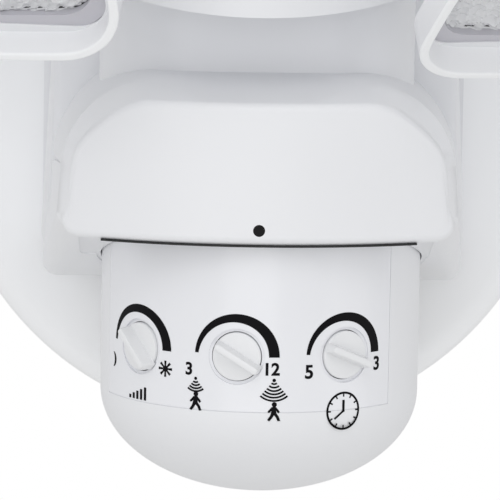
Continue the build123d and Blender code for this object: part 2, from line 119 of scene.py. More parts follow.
# screen ink, a thick near-black film with a low sheen
ink = grainedFinish("blackScreenInk", "0c0b0f", 0.5, mottle=0.08, bump=0.15, grain=0.3, cloud=3, depth=0.02,
                    IOR=1.48, Specular_IOR_Level=0.1)
# powder coat on the wall plate: satin white with visible orange peel about 1.5 mm across
powderCoat = grainedFinish("whitePowderCoatedSteel", "dcdcda", 0.42, mottle=0.02, bump=0.25, grain=1.5,
                           cloud=40, IOR=1.5)
# satin polycarbonate frame round the lens, a cool light grey
greyRing = grainedFinish("satinGreyPolycarbonate", "c6c5cc", 0.4, mottle=0.03, bump=0.08, grain=0.6, cloud=9,
                         IOR=1.58)
# clear acrylic that lets about a fifth of the light through; its near-white diffuse colour is painted light,
# standing in for the lens's bright silvery reflections; its dimples are geometry
clearAcrylic = grainedFinish("clearDimpledAcrylic", "f4f5f8", 0.16, mottle=0.01, bump=0.1, grain=0.7,
                             cloud=12, IOR=1.49, Transmission_Weight=0.22)
# milky polyethylene of the sensor's lens, waxy and faintly see-through
milkyPolyethylene = grainedFinish("milkyMouldedPolyethylene", "eceae4", 0.38, mottle=0.03, bump=0.12,
                                  grain=0.6, cloud=8, IOR=1.54, Transmission_Weight=0.18)
# photocell window: near-black and smooth, with a weak highlight
darkAcrylic = grainedFinish("darkGlossAcrylic", "0b0a0c", 0.1, mottle=0.1, bump=0.02, grain=0.5, cloud=3,
                            IOR=1.49, Specular_IOR_Level=0.12)
# gaskets, grommet and the strip of painted shadow under the lip: dull black with a rough moulded skin
blackRubber = grainedFinish("blackMouldedRubber", "1d1d1f", 0.62, mottle=0.12, bump=0.3, grain=0.35, cloud=5,
                            IOR=1.52)
# terminal block and cord clamp: nylon without pigment, a warm satin off-white
nylonNatural = grainedFinish("naturalMouldedNylon", "d9d8cf", 0.45, mottle=0.04, bump=0.12, grain=0.6,
                             cloud=7, IOR=1.53)
# capacitors and potentiometers: satin black
blackEpoxy = grainedFinish("blackEpoxySleeve", "19191b", 0.4, mottle=0.1, bump=0.12, grain=0.4, cloud=4,
                           IOR=1.55)
# the relay's case: clear blue with a soft gloss
blueRelay = grainedFinish("blueMouldedPolyester", "1f4f9c", 0.35, mottle=0.06, bump=0.08, grain=0.5, cloud=6,
                          IOR=1.57)
# tape round the transformer: amber with a soft gloss and a slightly wavy skin
windingTape = grainedFinish("yellowPolyesterTape", "d8a52e", 0.35, mottle=0.06, bump=0.15, grain=0.8, cloud=6,
                            IOR=1.6)
# phosphor silicone over the chips: matte yellow, grainy
phosphor = grainedFinish("yellowPhosphorSilicone", "e3c558", 0.55, mottle=0.08, bump=0.2, grain=0.15,
                         cloud=1.5, IOR=1.41)
# solder mask of the lamp boards: warm white with a soft gloss
whiteMask = grainedFinish("whiteSolderMask", "e3e3e0", 0.35, mottle=0.03, bump=0.12, grain=0.4, cloud=5,
                          IOR=1.5)
# zinc plate on steel: bright grey metal with a fine crystal bloom
zincSteel = grainedFinish("zincPlatedSteel", "c3c6ca", 0.34, mottle=0.10, bump=0.18, grain=0.25, cloud=2.5,
                          depth=0.02, Metallic=1.0)
# heat sinks: cast aluminium, a duller grey metal with a strongly grained skin
castAluminium = grainedFinish("castAluminium", "b4b6b8", 0.46, mottle=0.08, bump=0.4, grain=0.5, cloud=4,
                              Metallic=1.0)
# vacuum metallised reflector: a mirror with a little haze
metallised = grainedFinish("vacuumMetallisedPlastic", "e6e7e9", 0.14, mottle=0.02, bump=0.12, grain=2.5,
                           cloud=10, Metallic=1.0)

foamCells = {"size": 0.6, "depth": 0.15, "strength": 0.7, "dark": "1c1c1e", "light": "3a3a3d",
             "roughness": 0.85}


# closed cell foam: small round cells about 0.6 mm across, cut open at the surface
def makeFoam():
    material, tree = newMaterial("closedCellFoam")
    place = addNode(tree, "ShaderNodeTexCoord")
    cells = addNode(tree, "ShaderNodeTexVoronoi", Vector=(place, "Object"),
                    Scale=perMetre / foamCells["size"])
    tint = addNode(tree, "ShaderNodeMix", {"data_type": "RGBA"}, i0=(cells, 0),
                   i6=toLinear(foamCells["dark"]), i7=toLinear(foamCells["light"]))
    dents = addNode(tree, "ShaderNodeBump", Strength=foamCells["strength"],
                    Distance=foamCells["depth"] * mm, Height=(cells, 0))
    shader = addNode(tree, "ShaderNodeBsdfPrincipled", Base_Color=(tint, 2),
                     Roughness=foamCells["roughness"], Normal=(dents, 0))
    addNode(tree, "ShaderNodeOutputMaterial", Surface=(shader, 0))
    return material


copperTracks = {"pitch": 4.0, "gap": 0.06, "soften": 0.3, "strength": 0.3, "depth": 0.05, "roughness": 0.28,
                "masks": ("0e4a26", "115430"), "edge": "2b7a46"}


# green solder mask with copper tracks under it: long bricks in two greens with a lighter line round each
def makeCircuitBoard():
    material, tree = newMaterial("greenSolderMask")
    place = addNode(tree, "ShaderNodeTexCoord")
    tracks = addNode(tree, "ShaderNodeTexBrick", {"offset": 0.37, "squash": 1.6, "squash_frequency": 3},
                     Vector=(place, "Object"), Scale=perMetre / copperTracks["pitch"],
                     Mortar_Size=copperTracks["gap"], Mortar_Smooth=copperTracks["soften"],
                     Color1=toLinear(copperTracks["masks"][0]), Color2=toLinear(copperTracks["masks"][1]),
                     Mortar=toLinear(copperTracks["edge"]))
    dents = addNode(tree, "ShaderNodeBump", {"invert": True}, Strength=copperTracks["strength"],
                    Distance=copperTracks["depth"] * mm, Height=(tracks, 1))
    shader = addNode(tree, "ShaderNodeBsdfPrincipled", Base_Color=(tracks, 0),
                     Roughness=copperTracks["roughness"], Normal=(dents, 0))
    addNode(tree, "ShaderNodeOutputMaterial", Surface=(shader, 0))
    return material


slotMaterials = {
    "white_gloss_plastic": whiteAbs, "white_panel": panelAbs, "knob_plastic": knobNylon,
    "plate_steel": powderCoat, "grey_frame": greyRing, "lens_acrylic": clearAcrylic,
    "fresnel_hdpe": milkyPolyethylene, "dark_window": darkAcrylic, "black_rubber": blackRubber,
    "foam": makeFoam(), "zinc_steel": zincSteel, "aluminium": castAluminium, "reflector_plastic": metallised,
    "circuit_board": makeCircuitBoard(), "white_board": whiteMask, "led_phosphor": phosphor,
    "terminal_nylon": nylonNatural, "component_black": blackEpoxy, "relay_blue": blueRelay,
    "winding": windingTape,
}
nodeSlots = {row["node"]: row["material_slot"] for row in frame["record"]["subparts"]}
for name, node in nodes.items():
    node.data.materials.clear()
    node.data.materials.append(slotMaterials[nodeSlots[name]])
# the canopy takes the lighter copy of the white: painted light
nodes["canopy"].data.materials[0] = paintedLightAbs
print("materials on", len(nodes), "nodes")

# the photograph: seen from a little above and left, from a metre; aim and distance in metres
camera = {
    "aim": Vector((-1.1, -57.0, -24.9)) * mm, "distance": 1000 * mm, "elevation": radians(8.3),
    "azimuth": radians(-1.2), "roll": radians(1.0), "focal": 309.4, "film": 36.0, "near": 0.01, "far": 20,
}
level = cos(camera["elevation"])
back = Vector((sin(camera["azimuth"]) * level, -cos(camera["azimuth"]) * level, sin(camera["elevation"])))
optics = bpy.data.cameras.new("camera")
optics.lens = camera["focal"]
optics.sensor_width = camera["film"]
optics.clip_start = camera["near"]
optics.clip_end = camera["far"]
eye = bpy.data.objects.new("camera", optics)
bpy.context.scene.collection.objects.link(eye)
look = (-back).to_track_quat("-Z", "Y").to_matrix().to_4x4()
eye.matrix_world = (Matrix.Translation(camera["aim"] + back * camera["distance"]) @ look
                    @ Matrix.Rotation(camera["roll"], 4, "Z"))
bpy.context.scene.camera = eye


def editing(on):
    bpy.ops.object.mode_set(mode="EDIT" if on else "OBJECT")


def makeActive(piece):
    bpy.ops.object.select_all(action="DESELECT")
    piece.select_set(True)
    bpy.context.view_layer.objects.active = piece


# only the elements of the mesh in edit mode that pass a test are left selected
def pick(kind, test):
    mesh = bmesh.from_edit_mesh(bpy.context.object.data)
    bpy.ops.mesh.select_mode(type=kind)
    bpy.ops.mesh.select_all(action="DESELECT")
    for element in {"FACE": mesh.faces, "EDGE": mesh.edges, "VERT": mesh.verts}[kind]:
        if test(element):
            element.select_set(True)
    bmesh.update_edit_mesh(bpy.context.object.data)


def applyModifier(piece, kind, **settings):
    bpy.context.view_layer.objects.active = piece
    modifier = piece.modifiers.new(kind, kind)
    for key, value in settings.items():
        setattr(modifier, key, value)
    bpy.ops.object.modifier_apply(modifier=modifier.name)


# adds another solid to a piece, or cuts it away, and removes the spare
def combine(piece, other, operation="UNION"):
    applyModifier(piece, "BOOLEAN", operation=operation, object=other, solver="EXACT")
    bpy.data.objects.remove(other)


# the piece's place goes into its mesh; smooth faces keep edges sharper than the angle
def finishPiece(piece, name, place, body, material, angle=30, weighted=False):
    makeActive(piece)
    piece.name = name
    piece.data.name = name
    bpy.ops.object.transform_apply(location=True, rotation=True, scale=True)
    piece.data.transform(place)
    piece.data.materials.clear()
    piece.data.materials.append(material)
    bpy.ops.object.shade_smooth_by_angle(angle=radians(angle))
    if weighted:
        applyModifier(piece, "WEIGHTED_NORMAL", keep_sharp=True)
    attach(piece, body)


# a node's mesh in world metres with its seams welded, to be reshaped in the node's stead
def mergedCopy(nodeName, weld=1e-6):
    node = nodes[nodeName]
    piece = bpy.data.objects.new(nodeName + "Copy", node.data.copy())
    bpy.context.scene.collection.objects.link(piece)
    piece.data.transform(node.matrix_world)
    makeActive(piece)
    bpy.ops.mesh.customdata_custom_splitnormals_clear()
    editing(True)
    bpy.ops.mesh.select_all(action="SELECT")
    bpy.ops.mesh.remove_doubles(threshold=weld)
    bpy.ops.mesh.normals_make_consistent(inside=False)
    editing(False)
    return piece


# a flat outline, with a hole or without, becomes a film of a given half thickness
def filmOf(points, half, hole=None):
    curve = bpy.data.curves.new("film", "CURVE")
    curve.dimensions = "2D"
    curve.fill_mode = "BOTH"
    curve.extrude = half
    for outline in [points] + ([hole] if hole else []):
        spline = curve.splines.new("POLY")
        spline.points.add(len(outline) - 1)
        for point, (u, v) in zip(spline.points, outline):
            point.co = (u, v, 0, 1)
        spline.use_cyclic_u = True
    film = bpy.data.objects.new("film", curve)
    bpy.context.scene.collection.objects.link(film)
    return film


def filmMesh(film):
    makeActive(film)
    bpy.ops.object.convert(target="MESH")
    return bpy.context.object


# the sensor's drum and its three dials; angles turn right from straight out, bars stand as photographed
drum = {"x": 1.5, "out": 57.0, "radius": 37.0, "dialHeight": -43.9}
dials = {
    "light": {"facing": -49.05, "bar": -44.0},
    "range": {"facing": -9.3, "bar": -31.0},
    "time": {"facing": 30.45, "bar": -23.0},
}


# a point round the drum's axis, in millimetres
def roundDrum(turned, reach, height):
    return Vector((drum["x"] + reach * sin(turned), -drum["out"] - reach * cos(turned), height))


# millimetres with z outwards, on the drum's skin at a dial
def dialPlace(facing):
    turned = radians(facing)
    spot = roundDrum(turned, drum["radius"], drum["dialHeight"])
    return (Matrix.Translation(spot * mm) @ Matrix.Rotation(turned, 4, "Z")
            @ Matrix.Rotation(radians(90), 4, "X") @ Matrix.Scale(mm, 4))


# the housing's moulding is a merged copy of its CAD shape; its face is drawn in at the top and sides, which
# leaves the broad soft bevel round it: drop and sideIn are the most that it moves, reached between the
# heights and distances from the middle that end in From or Foot and in To or Full
housing = {
    "lip": 82.0, "face": 98.0, "bulge": 90.0, "round": 2.2, "middle": -0.2,
    "drop": 2.5, "dropFrom": -4.0, "dropTo": 15.0,
    "sideIn": 1.8, "sideFrom": 22.0, "sideTo": 42.0, "sideFoot": -18.0, "sideFull": -10.0,
    "corner": 1.1, "cornerIn": 0.8, "cornerDown": 0.6,
}


def ramp(value, low, high):
    share = min(max((value - low) / (high - low), 0), 1)
    return share * share * (3 - 2 * share)


# how far out the hood's bulging face stands, in millimetres
def faceAt(x):
    return housing["face"] - housing["bulge"] + (housing["bulge"] ** 2 - x * x) ** 0.5


def easeFace(vertex):
    x, out, z = vertex.co.x / mm, -vertex.co.y / mm, vertex.co.z / mm
    surface = faceAt(x) - housing["round"]
    forward = min(max((out - housing["lip"]) / (surface - housing["lip"]), 0), 1)
    if forward == 0:
        return
    across = x - housing["middle"]
    side = 1 if across > 0 else -1
    high = ramp(z, housing["dropFrom"], housing["dropTo"])
    wide = ramp(abs(across), housing["sideFrom"], housing["sideTo"])
    turn = housing["corner"] * high * wide
    inward = (housing["sideIn"] * wide * ramp(z, housing["sideFoot"], housing["sideFull"])
              + turn * housing["cornerIn"])
    z -= forward * (housing["drop"] * high + turn * housing["cornerDown"])
    vertex.co = Vector((x - forward * side * inward, -out, z)) * mm


moulding = mergedCopy("front_housing")
for vertex in moulding.data.vertices:
    easeFace(vertex)
finishPiece(moulding, "frontMoulding", Matrix.Identity(4), "housing", whiteAbs,
            weighted=True)
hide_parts("front_housing")

# cheeks close the corners of the hood's opening beside the drum: a block each whose underside is level under
# the lip and slopes down to a heel behind it, with the drum's round cut out; lift keeps it in the moulding
cheek = {"rear": 44.0, "front": 87.0, "top": -13.0, "foot": -18.2, "heel": -30.6, "behindLip": 1.0,
         "slack": 0.1, "gap": 0.35, "cutterDepth": 60, "cutterSides": 256}
cheekSides = {
    "cheekLeft": {"from": -41.0, "to": -30.0, "lift": 0.25},
    "cheekRight": {"from": 32.0, "to": 40.8, "lift": 0.1},
}


def isFoot(vertex):
    return vertex.co.z < cheek["foot"] + cheek["slack"]


def isHeel(vertex):
    return vertex.co.y > cheek["behindLip"] - housing["lip"] and isFoot(vertex)


def makeCheek(name, low, high, lift):
    depth = cheek["front"] - cheek["rear"]
    height = cheek["top"] - cheek["foot"]
    middle = ((low + high) / 2, -cheek["rear"] - depth / 2, cheek["foot"] + height / 2)
    bpy.ops.mesh.primitive_cube_add(size=1, scale=(high - low, depth, height), location=middle)
    block = bpy.context.object
    bpy.ops.object.transform_apply(location=True, rotation=False, scale=True)
    editing(True)
    bpy.ops.mesh.select_all(action="SELECT")
    bpy.ops.mesh.bisect(plane_co=(0, -housing["lip"], 0), plane_no=(0, 1, 0))
    pick("VERT", isHeel)
    bpy.ops.transform.translate(value=(0, 0, cheek["heel"] - cheek["foot"]))
    pick("VERT", isFoot)
    bpy.ops.transform.translate(value=(0, 0, lift))
    editing(False)
    bpy.ops.mesh.primitive_cylinder_add(vertices=cheek["cutterSides"], radius=drum["radius"] + cheek["gap"],
                                        depth=cheek["cutterDepth"],
                                        location=(drum["x"], -drum["out"], cheek["foot"]))
    combine(block, bpy.context.object, "DIFFERENCE")
    finishPiece(block, name, Matrix.Scale(mm, 4), "housing", whiteAbs)


for name, side in cheekSides.items():
    makeCheek(name, side["from"], side["to"], side["lift"])

# the upper housing's brow hangs a little lower at its front edge than in the CAD shape
brow = {"drop": 1.4, "height": 7.0, "from": 55.0, "to": 68.0}
tower = mergedCopy("upper_housing")
lowest = min(vertex.co.z for vertex in tower.data.vertices)
for vertex in tower.data.vertices:
    share = 1 - min((vertex.co.z - lowest) / (brow["height"] * mm), 1)
    vertex.co.z -= brow["drop"] * mm * share * ramp(-vertex.co.y / mm, brow["from"], brow["to"])
finishPiece(tower, "upperMoulding", Matrix.Identity(4), "housing", whiteAbs,
            weighted=True)
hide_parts("upper_housing")

# painted shadow: a black strip under the lip that draws the thin dark line of shade above the drum
lipShadowStrip = {"from": -35.4, "to": 35.8, "front": 0.5, "rear": 1.9, "height": -18.25, "half": 0.17, "steps": 48}
shadowStripSpan = lipShadowStrip["to"] - lipShadowStrip["from"]
shadowStripX = [lipShadowStrip["from"] + shadowStripSpan * i / lipShadowStrip["steps"] for i in range(lipShadowStrip["steps"] + 1)]
shadowStripFront = [(x, -faceAt(x) + lipShadowStrip["front"]) for x in shadowStripX]
shadowStripRear = [(x, -faceAt(x) + lipShadowStrip["rear"]) for x in shadowStripX]
strip = filmMesh(filmOf(shadowStripFront + shadowStripRear[::-1], lipShadowStrip["half"]))
finishPiece(strip, "lipShadowStrip", Matrix.Scale(mm, 4) @ Matrix.Translation((0, 0, lipShadowStrip["height"])), "housing",
            blackRubber)
print("housing skin made")

# setting knob: a flush disc with a tall drafted bar across it that runs a little past its edge; barDraft is a
# share of the bar's length and barCorner a share of barTop
knob = {"radius": 5.5, "depth": 2.5, "sides": 96, "rimRound": 0.3, "stem": 2.0, "stemDepth": 8.8,
        "barLength": 11.7, "barShift": 0.3, "barFoot": 2.5, "barTop": 1.5, "barDraft": 0.95, "barHeight": 3.1,
        "barSink": 0.4, "barCorner": 0.42, "cornerSteps": 4, "barRound": 0.28, "roundSteps": 3}


def facesOut(face):
    return face.normal.z > 0.9


def facesIn(face):
    return face.normal.z < -0.9


def standsUp(edge):
    return abs((edge.verts[0].co - edge.verts[1].co).z) > 1


def makeDisc():
    bpy.ops.mesh.primitive_cylinder_add(vertices=knob["sides"], radius=knob["radius"], depth=knob["depth"],
                                        location=(0, 0, -knob["depth"] / 2))
    disc = bpy.context.object
    bpy.ops.object.transform_apply(location=True, rotation=False, scale=False)
    editing(True)
    pick("FACE", facesOut)
    bpy.ops.mesh.bevel(offset=knob["rimRound"], segments=knob["roundSteps"])
    pick("FACE", facesIn)
    bpy.ops.mesh.inset(thickness=knob["radius"] - knob["stem"])
    stemReach = knob["depth"] - knob["stemDepth"]
    bpy.ops.mesh.extrude_region_move(TRANSFORM_OT_translate={"value": (0, 0, stemReach)})
    editing(False)
    return disc


def makeBar():
    height = knob["barHeight"] + knob["barSink"]
    bpy.ops.mesh.primitive_cube_add(size=1, location=(knob["barShift"], 0, height / 2 - knob["barSink"]),
                                    scale=(knob["barLength"], knob["barFoot"], height))
    bar = bpy.context.object
    bpy.ops.object.transform_apply(location=True, rotation=False, scale=True)
    editing(True)
    pick("FACE", facesOut)
    bpy.ops.transform.resize(value=(knob["barDraft"], knob["barTop"] / knob["barFoot"], 1))
    pick("EDGE", standsUp)
    bpy.ops.mesh.bevel(offset=knob["barTop"] * knob["barCorner"], segments=knob["cornerSteps"])
    pick("FACE", facesOut)
    bpy.ops.mesh.bevel(offset=knob["barRound"], segments=knob["roundSteps"])
    editing(False)
    return bar


for name, dial in dials.items():
    cap = makeDisc()
    bar = makeBar()
    bar.rotation_euler = (0, 0, radians(dial["bar"]))
    combine(cap, bar)
    finishPiece(cap, "knobCap_" + name, dialPlace(dial["facing"]), "knob_" + name, knobNylon)
    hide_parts("knob_" + name)
print("three knobs made")

# printed scales in millimetres about each dial's middle, u to the right and v up
printed = {"rise": 0.035, "half": 0.02, "weld": 0.002, "cut": 1.0}


def circle(u, v, radius, count=40):
    turns = [2 * pi * i / count for i in range(count)]
    return [(u + radius * cos(turn), v + radius * sin(turn)) for turn in turns]


def arc(u, v, radius, start, end, step):
    turns = [radians(a) for a in range(start, end + (1 if step > 0 else -1), step)]
    return [(u + radius * cos(turn), v + radius * sin(turn)) for turn in turns]


def bar2d(u0, v0, u1, v1, width, endWidth=None):
    along = Vector((u1 - u0, v1 - v0)).normalized()
    side = Vector((-along.y, along.x)) * width / 2
    far = Vector((-along.y, along.x)) * (width if endWidth is None else endWidth) / 2
    return [(u0 + side.x, v0 + side.y), (u1 + far.x, v1 + far.y), (u1 - far.x, v1 - far.y),
            (u0 - side.x, v0 - side.y)]


# a bar along a ray between two radii
def spoke(u, v, turn, start, end, width, endWidth=None):
    return bar2d(u + start * cos(turn), v + start * sin(turn), u + end * cos(turn), v + end * sin(turn),
                 width, endWidth)


# an arc over the dial that widens to the right
scaleShape = {"radius": 9.75, "start": 3.0, "steps": 72, "thin": 0.83, "widen": 2.85, "ease": 1.25}


def scaleArc():
    outer, inner = [], []
    for i in range(scaleShape["steps"] + 1):
        share = i / scaleShape["steps"]
        turn = radians(180 - scaleShape["start"] - share * (180 - scaleShape["start"]))
        width = scaleShape["thin"] + scaleShape["widen"] * share - scaleShape["ease"] * share * share
        outer.append((scaleShape["radius"] * cos(turn), scaleShape["radius"] * sin(turn)))
        inner.append(((scaleShape["radius"] - width) * cos(turn), (scaleShape["radius"] - width) * sin(turn)))
    return [outer + inner[::-1]]


moonShape = {"shift": 0.6, "radius": 1.8, "end": 80, "step": 10,
             "hollowShift": 2.4, "hollowRadius": 2.75, "hollowEnd": 36, "hollowStep": 6}


def moon(u, v):
    outer = arc(u - moonShape["shift"], v, moonShape["radius"], -moonShape["end"], moonShape["end"],
                moonShape["step"])
    hollow = arc(u - moonShape["hollowShift"], v, moonShape["hollowRadius"], moonShape["hollowEnd"],
                 -moonShape["hollowEnd"], -moonShape["hollowStep"])
    return [outer + hollow]


sunShape = {"core": 0.74, "rays": 8, "from": 0.5, "to": 1.85, "width": 0.36, "endWidth": 0.6}


def sun(u, v):
    turns = [radians(360 / sunShape["rays"] * i) for i in range(sunShape["rays"])]
    return [circle(u, v, sunShape["core"])] + [
        spoke(u, v, turn, sunShape["from"], sunShape["to"], sunShape["width"], sunShape["endWidth"])
        for turn in turns]


# five bars that rise to the right
risingShape = {"bars": 5, "from": -2.6, "pitch": 1.3, "width": 0.75, "lowest": 0.8, "rise": 0.55}


def risingBars(u, v):
    bars = []
    for i in range(risingShape["bars"]):
        at = u + risingShape["from"] + risingShape["pitch"] * i
        top = v + risingShape["lowest"] + risingShape["rise"] * i
        bars.append(bar2d(at, v, at, top, risingShape["width"]))
    return bars


# a dot with waves that spread below it
waveShape = {"half": 40, "step": 4, "line": 0.42, "dotSides": 20}


def waves(dot, dotRadius, start, radii):
    outlines = [circle(*dot, dotRadius, waveShape["dotSides"])]
    left, right = -90 - waveShape["half"], -90 + waveShape["half"]
    for radius in radii:
        low = arc(*start, radius, left, right, waveShape["step"])
        high = arc(*start, radius - waveShape["line"], left, right, waveShape["step"])
        outlines.append(low + high[::-1])
    return outlines


walkerShape = {
    "size": 1.15, "head": 0.5, "headAt": (0.1, 1.45), "headSides": 24,
    "body": [(0.45, 0.98), (0.92, 0.42), (1.22, -0.02), (0.92, -0.3), (0.6, 0.02), (0.52, 0.3), (0.5, -0.22),
             (1.0, -0.9), (1.32, -1.78), (0.8, -1.86), (0.46, -1.1), (0.06, -0.66), (-0.3, -1.3),
             (-0.86, -1.9), (-1.26, -1.62), (-0.8, -0.96), (-0.52, -0.28), (-0.46, 0.2), (-0.72, -0.1),
             (-1.12, -0.22), (-1.18, 0.12), (-0.86, 0.44), (-0.42, 0.94), (0.02, 1.06)],
}


def walker(u, v):
    size = walkerShape["size"]
    headU, headV = walkerShape["headAt"]
    return [circle(u + headU * size, v + headV * size, walkerShape["head"] * size, walkerShape["headSides"]),
            [(u + x * size, v + y * size) for x, y in walkerShape["body"]]]


clockShape = {"radius": 4.4, "line": 0.5, "rimStep": 5, "ticks": 12, "tick": 0.75, "tickWidth": 0.34,
              "overlap": 0.1, "tail": 0.2, "upHand": 2.5, "upWidth": 0.62, "sideHand": (-2.3, -1.75),
              "sideWidth": 0.46, "hub": 0.34, "hubSides": 24}


# the rim is drawn as two half rings, so that each is one plain outline
def clock(u, v):
    radius, step = clockShape["radius"], clockShape["rimStep"]
    tickFrom = radius - clockShape["line"] + clockShape["overlap"]
    ticks = [spoke(u, v, radians(360 / clockShape["ticks"] * i), tickFrom, tickFrom - clockShape["tick"],
                   clockShape["tickWidth"]) for i in range(clockShape["ticks"])]
    sideU, sideV = clockShape["sideHand"]
    hands = [bar2d(u, v - clockShape["tail"], u, v + clockShape["upHand"], clockShape["upWidth"]),
             bar2d(u, v, u + sideU, v + sideV, clockShape["sideWidth"]),
             circle(u, v, clockShape["hub"], clockShape["hubSides"])]
    rim = [arc(u, v, radius, start, start + 180, step)
           + arc(u, v, radius - clockShape["line"], start + 180, start, -step) for start in (0, 180)]
    return ticks + hands + rim


numbers = {"bold": 0.12, "capHeight": 0.72}  # bold in millimetres, capHeight as a share of the font's size


def numberFilm(text, u, v, height):
    bpy.ops.object.text_add(location=(u, v - height / 2, 0))
    film = bpy.context.object
    film.data.body = text
    film.data.align_x = "CENTER"
    film.data.size = height / numbers["capHeight"]
    film.data.offset = numbers["bold"]
    film.data.extrude = printed["half"]
    return film


# films are made meshes, joined, cut into narrow strips and bent round the drum
def wrapFilms(name, facing, films, rise, material):
    bpy.ops.object.select_all(action="DESELECT")
    for film in films:
        film.select_set(True)
    bpy.context.view_layer.objects.active = films[0]
    bpy.ops.object.convert(target="MESH")
    for film in bpy.context.selected_objects:
        film.data.transform(film.matrix_world)
        film.matrix_world = Matrix.Identity(4)
    if len(films) > 1:
        bpy.ops.object.join()
    piece = bpy.context.object
    editing(True)
    bpy.ops.mesh.select_all(action="SELECT")
    bpy.ops.mesh.remove_doubles(threshold=printed["weld"])
    halfSpan = int(max(abs(vertex.co.x) for vertex in piece.data.vertices)) + 1
    for step in range(-halfSpan, halfSpan + 1):
        bpy.ops.mesh.select_all(action="SELECT")
        bpy.ops.mesh.bisect(plane_co=(step * printed["cut"], 0, 0), plane_no=(1, 0, 0))
    bpy.ops.mesh.select_all(action="SELECT")
    bpy.ops.mesh.normals_make_consistent(inside=False)
    editing(False)
    for vertex in piece.data.vertices:
        u, v, w = vertex.co
        vertex.co = roundDrum(radians(facing) + u / drum["radius"], drum["radius"] + rise + w,
                              drum["dialHeight"] + v)
    finishPiece(piece, name, Matrix.Scale(mm, 4), "sensor", material, angle=20)


# each mark's place, and the text, place and height of each number
marks = {
    "moon": (-10.6, -4.45), "sun": (8.2, -4.1), "bars": (-0.4, -12.2),
    "nearWaves": {"dot": (-9.5, -5.5), "dotRadius": 0.36, "start": (-9.5, -5.5),
                  "radii": (1.1, 1.8, 2.5, 3.15)},
    "farWaves": {"dot": (8.6, -5.2), "dotRadius": 0.4, "start": (8.6, -5.1),
                 "radii": (1.15, 1.95, 2.75, 3.5, 4.25, 5.0)},
    "nearWalker": (-9.5, -10.7), "farWalker": (8.6, -12.4),
    "rangeNumbers": (("3", -11.2, -3.3, 2.8), ("12", 7.9, -2.6, 2.8)),
    "clock": (-0.3, -12.8), "timeNumbers": (("5", -9.05, -3.3, 3.1), ("3", 9.2, -2.6, 3.1)),
}


def printScale(dialName, pictures, texts=()):
    films = [filmOf(outline, printed["half"]) for outline in scaleArc() + pictures]
    films += [numberFilm(*text) for text in texts]
    wrapFilms(dialName + "Scale", dials[dialName]["facing"], films, printed["rise"], ink)


printScale("light", moon(*marks["moon"]) + sun(*marks["sun"]) + risingBars(*marks["bars"]))
printScale("range", waves(**marks["nearWaves"]) + walker(*marks["nearWalker"])
           + waves(**marks["farWaves"]) + walker(*marks["farWalker"]), marks["rangeNumbers"])
printScale("time", clock(*marks["clock"]), marks["timeNumbers"])
print("scales printed")

# the shell's ledge shows white in the hairline gap round the panel, so the seam stays faint
seam = {"side": 39.36, "foot": -12.6, "top": 41.0, "width": 0.5, "half": 0.6, "sink": 0.18, "sinkLeft": 0.06}
ledges = {
    "seamLedge": {"sink": seam["sink"], "lines": ((seam["side"], seam["foot"], seam["side"], seam["top"]),
                                                  (-seam["side"], seam["foot"], seam["side"], seam["foot"]))},
    "seamLedgeLeft": {"sink": seam["sinkLeft"],
                      "lines": ((-seam["side"], seam["foot"], -seam["side"], seam["top"]),)},
}
for name, ledge in ledges.items():
    films = [filmOf(bar2d(*line, seam["width"]), seam["half"]) for line in ledge["lines"]]
    wrapFilms(name, dials["range"]["facing"], films, -seam["half"] - ledge["sink"],
              whiteAbs)

# the sensor's lens is moulded with three rows of small Fresnel lenses: fine steps in rings and a web between
# the cells, whose rise is a share of a step
fresnel = {"facing": 170.7, "half": 43.4, "foot": -49.6, "top": -14.4, "skin": 36.85, "back": 36.4,
           "cellsInHalf": 5, "rows": 3, "ring": 0.9, "step": 0.28, "web": 0.5, "webRise": 0.9,
           "columns": 300, "lines": 120}
cellWide = fresnel["half"] / fresnel["cellsInHalf"]
cellTall = (fresnel["top"] - fresnel["foot"]) / fresnel["rows"]


# the height of the rings and the web over the lens's skin
def ribRise(u, v):
    cellU = (u + fresnel["half"]) % cellWide - cellWide / 2
    cellV = v % cellTall - cellTall / 2
    edge = min(cellWide / 2 - abs(cellU), cellTall / 2 - abs(cellV))
    ring = ((cellU ** 2 + cellV ** 2) ** 0.5 / fresnel["ring"]) % 1
    return fresnel["step"] * (fresnel["webRise"] if edge < fresnel["web"] / 2 else 1 - ring)


bpy.ops.mesh.primitive_grid_add(x_subdivisions=fresnel["columns"], y_subdivisions=fresnel["lines"], size=2)
ribs = bpy.context.object
for vertex in ribs.data.vertices:
    u = vertex.co.x * fresnel["half"]
    v = (vertex.co.y + 1) / 2 * (fresnel["top"] - fresnel["foot"])
    vertex.co = roundDrum(radians(fresnel["facing"]) + u / drum["radius"], fresnel["skin"] + ribRise(u, v),
                          fresnel["foot"] + v)
applyModifier(ribs, "SOLIDIFY", thickness=fresnel["skin"] - fresnel["back"], offset=-1)
finishPiece(ribs, "fresnelRibs", Matrix.Scale(mm, 4), "sensor", milkyPolyethylene, angle=20)
print("sensor lens ribbed")

# lamp heads as photographed: pan outwards and tilt down in degrees
heads = {
    "left": {"side": -1, "pan": 13.6, "tilt": 36.5},
    "right": {"side": 1, "pan": 20.8, "tilt": 52.8},
}
headJoint = {"shoulder": (62, 60, 82), "reach": 22}


# millimetres with z outwards from a head's tilt axis
def headPlace(head):
    x, out, z = headJoint["shoulder"]
    pan = Matrix.Rotation(radians(head["side"] * head["pan"]), 4, "Z")
    tilt = Matrix.Rotation(radians(head["tilt"] + 90), 4, "X")
    return (Matrix.Scale(mm, 4) @ Matrix.Translation((head["side"] * x, -out, z)) @ pan
            @ Matrix.Translation((0, -headJoint["reach"], 0)) @ tilt)


# half the width of a rounded outline at a height, in millimetres
def halfWidth(y, width, height, corner):
    over = max(abs(y) - (height / 2 - corner), 0)
    return width / 2 - corner + max(corner ** 2 - over ** 2, 0) ** 0.5


